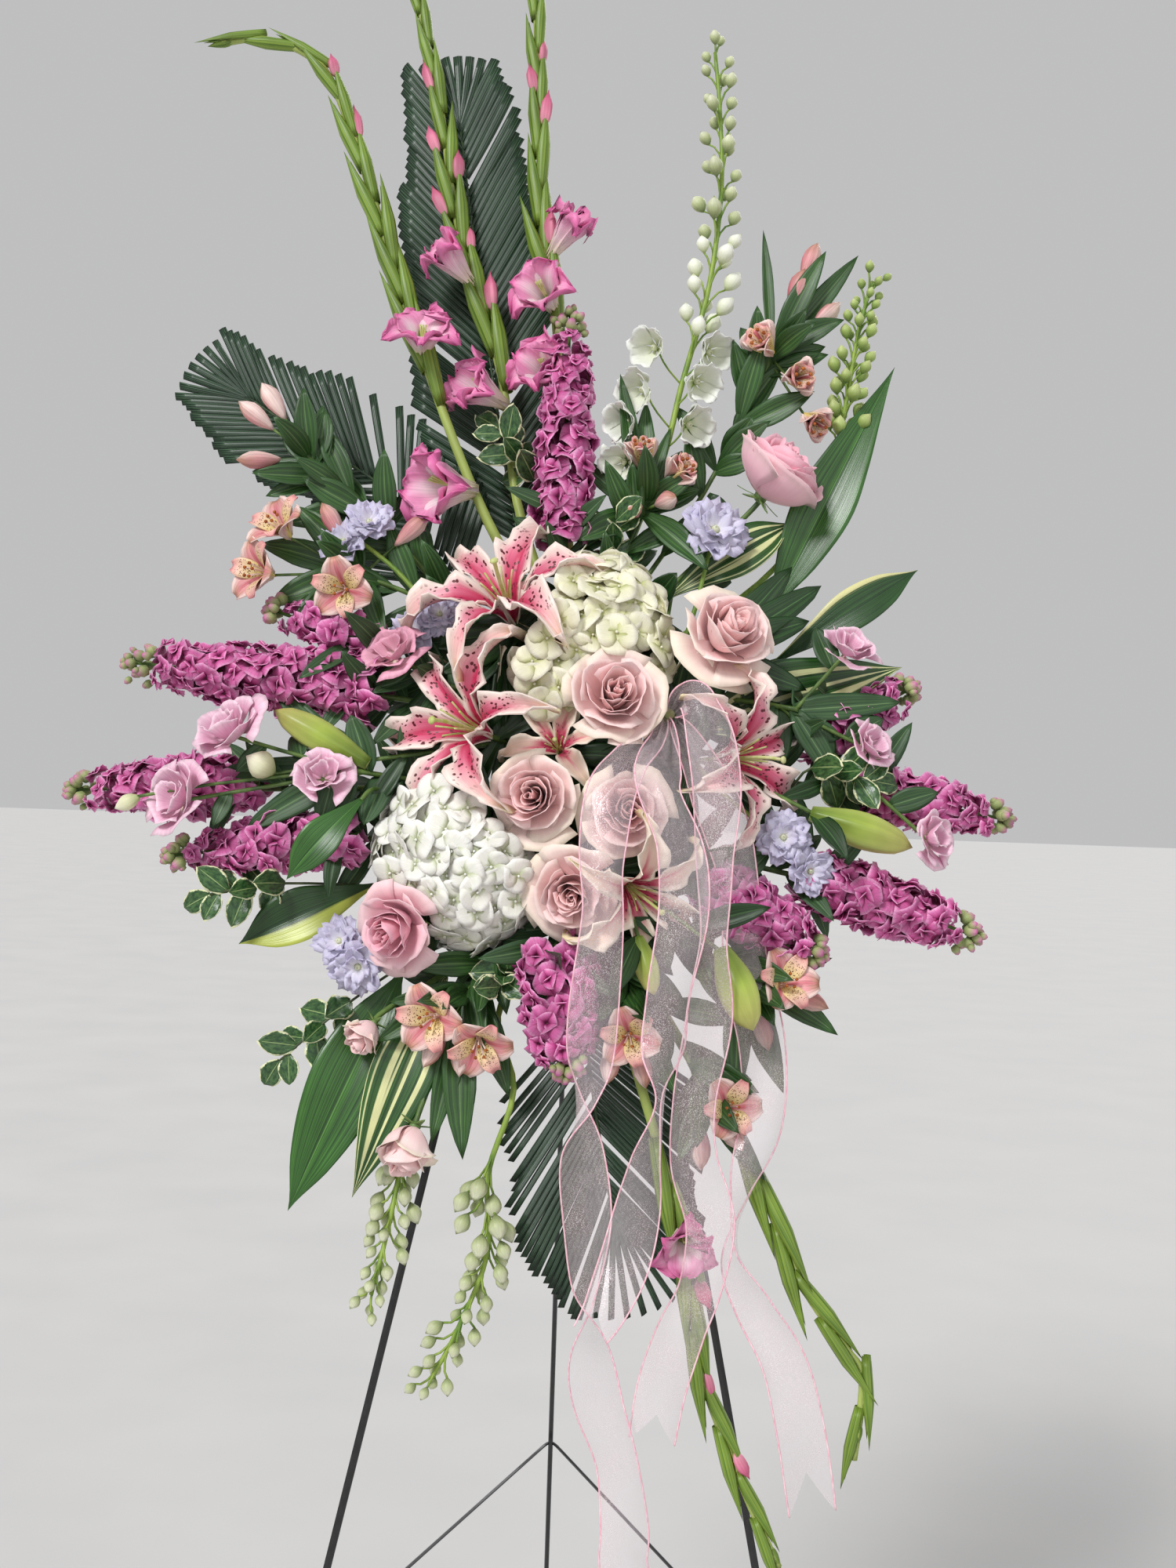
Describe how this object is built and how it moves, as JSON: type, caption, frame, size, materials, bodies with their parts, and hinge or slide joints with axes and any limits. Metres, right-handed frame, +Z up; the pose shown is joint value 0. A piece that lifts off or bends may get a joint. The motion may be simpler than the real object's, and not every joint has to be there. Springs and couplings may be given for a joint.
{
  "type": "standing funeral spray",
  "caption": "One-sided spray of cut flowers and foliage in wet foam with trailing sheer ribbons, leaning on a folding wire easel",
  "frame": {"origin": "centre of the bounding box on the floor, to the nearest millimetre or so", "axes": "+Z up, -Y towards the viewer of the flowers, +X to the viewer's right"},
  "size_m": [0.7605, 0.5838, 1.7952],
  "materials": {
    "black_wire": "satin black",
    "green_plastic": "dark green",
    "wet_foam": "matt, soaked",
    "pick_wood": "raw",
    "organza": "sheer, slightly glittering",
    "rose_petal": "soft",
    "lily_petal": "soft, white edged",
    "hydrangea_petal": "soft",
    "stock_petal": "soft",
    "gladiolus_spike": "soft",
    "lisianthus_petal": "soft",
    "white_larkspur": "soft",
    "lilac_larkspur": "soft",
    "alstroemeria_petal": "soft",
    "palm_leaf": "satin",
    "aspidistra_leaf": "satin",
    "pittosporum_leaf": "satin, cream edged"
  },
  "bodies": {
    "stand_and_flowers": {"easel_frame": "black_wire", "foam_holder": "green_plastic", "ribbon_pick": "pick_wood", "ribbon_front": "organza", "ribbon_middle": "organza", "ribbon_right": "organza", "ribbon_behind": "organza", "rose_upper_right": "rose_petal", "rose_centre": "rose_petal", "rose_centre_left": "rose_petal", "rose_centre_right": "rose_petal", "rose_lower": "rose_petal", "rose_left": "rose_petal", "rose_top_right": "rose_petal", "rose_hanging": "rose_petal", "lily_upper_left": "lily_petal", "lily_left": "lily_petal", "lily_right": "lily_petal", "lily_small": "lily_petal", "lily_lower": "lily_petal", "hydrangea_upper": "hydrangea_petal", "hydrangea_lower": "hydrangea_petal", "stock_top": "stock_petal", "stock_left_upper": "stock_petal", "stock_left_middle": "stock_petal", "stock_left_lower": "stock_petal", "stock_lower": "stock_petal", "stock_right_inner": "stock_petal", "stock_right_lower": "stock_petal", "stock_right_upper": "stock_petal", "gladiolus_left": "gladiolus_spike", "gladiolus_middle": "gladiolus_spike", "gladiolus_right": "gladiolus_spike", "gladiolus_low": "gladiolus_spike", "gladiolus_low_right": "gladiolus_spike", "lisianthus_left": "lisianthus_petal", "lisianthus_pale": "lisianthus_petal", "lisianthus_right": "lisianthus_petal", "larkspur_white_top": "white_larkspur", "larkspur_white_right": "white_larkspur", "larkspur_white_low": "white_larkspur", "larkspur_lilac_left": "lilac_larkspur", "larkspur_lilac_low_left": "lilac_larkspur", "larkspur_lilac_right": "lilac_larkspur", "alstroemeria_left": "alstroemeria_petal", "alstroemeria_top": "alstroemeria_petal", "alstroemeria_right": "alstroemeria_petal", "alstroemeria_low_left": "alstroemeria_petal", "alstroemeria_low_right": "alstroemeria_petal", "aspidistra_right": "aspidistra_leaf", "aspidistra_left": "aspidistra_leaf", "pittosporum_upper": "pittosporum_leaf", "pittosporum_lower": "pittosporum_leaf", "palm_top": "palm_leaf", "palm_left": "palm_leaf", "palm_low": "palm_leaf", "floral_foam": "wet_foam"},
    "back_leg": {"easel_back_leg": "black_wire"},
    "stay": {"easel_stay": "black_wire"}
  },
  "joints": [
    {"name": "leg_fold", "type": "hinge", "parent": "stand_and_flowers", "child": "back_leg", "pos_m": [0.025, -0.01843, 1.15], "axis": [-1, 0, 0], "range_deg": [0, 21]},
    {"name": "stay_fold", "type": "hinge", "parent": "stand_and_flowers", "child": "stay", "pos_m": [0.025, -0.16037, 0.345], "axis": [-1, 0, 0], "range_deg": [0, 86.1]}
  ],
  "couplings": [
    {"joint": "stay_fold", "follows": "leg_fold", "ratio": 4.1}
  ]
}
